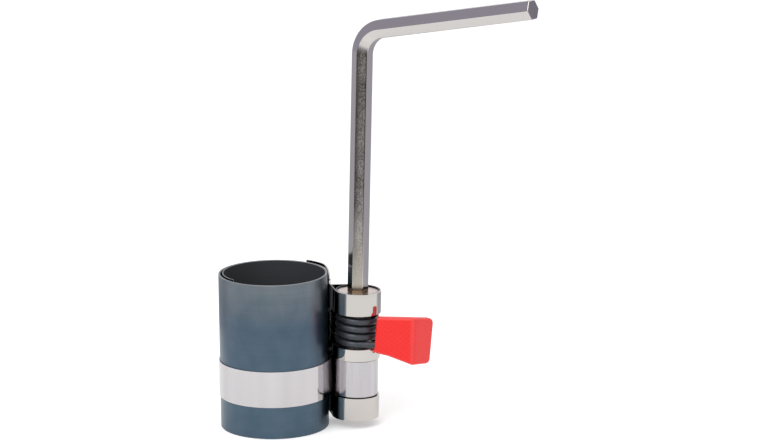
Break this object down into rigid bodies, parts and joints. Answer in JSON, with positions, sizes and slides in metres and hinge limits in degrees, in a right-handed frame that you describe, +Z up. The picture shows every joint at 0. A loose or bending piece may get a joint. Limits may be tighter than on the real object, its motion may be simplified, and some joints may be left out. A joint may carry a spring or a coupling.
{
  "type": "piston ring compressor",
  "caption": "Wound steel sleeve that squeezes piston rings, drawn in by a band on a keyed spindle with a spring brake and release lever",
  "frame": {"origin": "on the sleeve's axis, level with its foot, at the lower end of the bore that takes the piston", "axes": "+Z up along the sleeve's axis towards its upper rim, +X from the sleeve towards the spindle's post"},
  "size_m": [0.1725, 0.0947, 0.2446],
  "materials": {
    "blued_steel": "blued spring steel, satin",
    "stainless_band": "polished stainless strip",
    "chrome_sheet": "bright chrome",
    "plain_steel": "turned steel",
    "black_spring": "oil-blackened, satin",
    "nickel_spindle": "dull nickel",
    "red_plastic": "moulded, finely textured",
    "nickel_key": "nickel plate, drawn bar"
  },
  "bodies": {
    "housing": {"sleeve": "blued_steel", "tension_band": "stainless_band", "bracket_shell": "chrome_sheet", "sleeve_rivets": "plain_steel", "band_rivets": "plain_steel", "upper_bush": "plain_steel", "mid_bush": "plain_steel", "lower_bush": "plain_steel", "bush_rivets": "plain_steel", "wrap_spring": "black_spring"},
    "spindle": {"spindle": "nickel_spindle", "band_drum": "plain_steel", "drum_pin": "plain_steel", "band_roll": "stainless_band", "band_anchor_pin": "plain_steel", "thrust_washer": "plain_steel", "retaining_ring": "black_spring"},
    "lever": {"spring_tail": "black_spring", "release_lever": "red_plastic"},
    "key": {"hex_key": "nickel_key"}
  },
  "joints": [
    {"name": "spindle_turn", "type": "hinge", "parent": "housing", "child": "spindle", "pos_m": [0.0441, 0, 0], "axis": [0.0279, 0, 0.9996], "range_deg": [0, 1100], "deforming": ["sleeve", "tension_band", "band_roll"]},
    {"name": "lever_release", "type": "hinge", "parent": "housing", "child": "lever", "pos_m": [0.0441, 0, 0], "axis": [0.0279, 0, 0.9996], "range_deg": [-18, 0], "stiffness_Nm_per_rad": 0.3, "deforming": ["wrap_spring"]},
    {"name": "key_lift", "type": "slide", "parent": "spindle", "child": "key", "axis": [0.0279, 0, 0.9996], "range_m": [0, 0.045]}
  ]
}
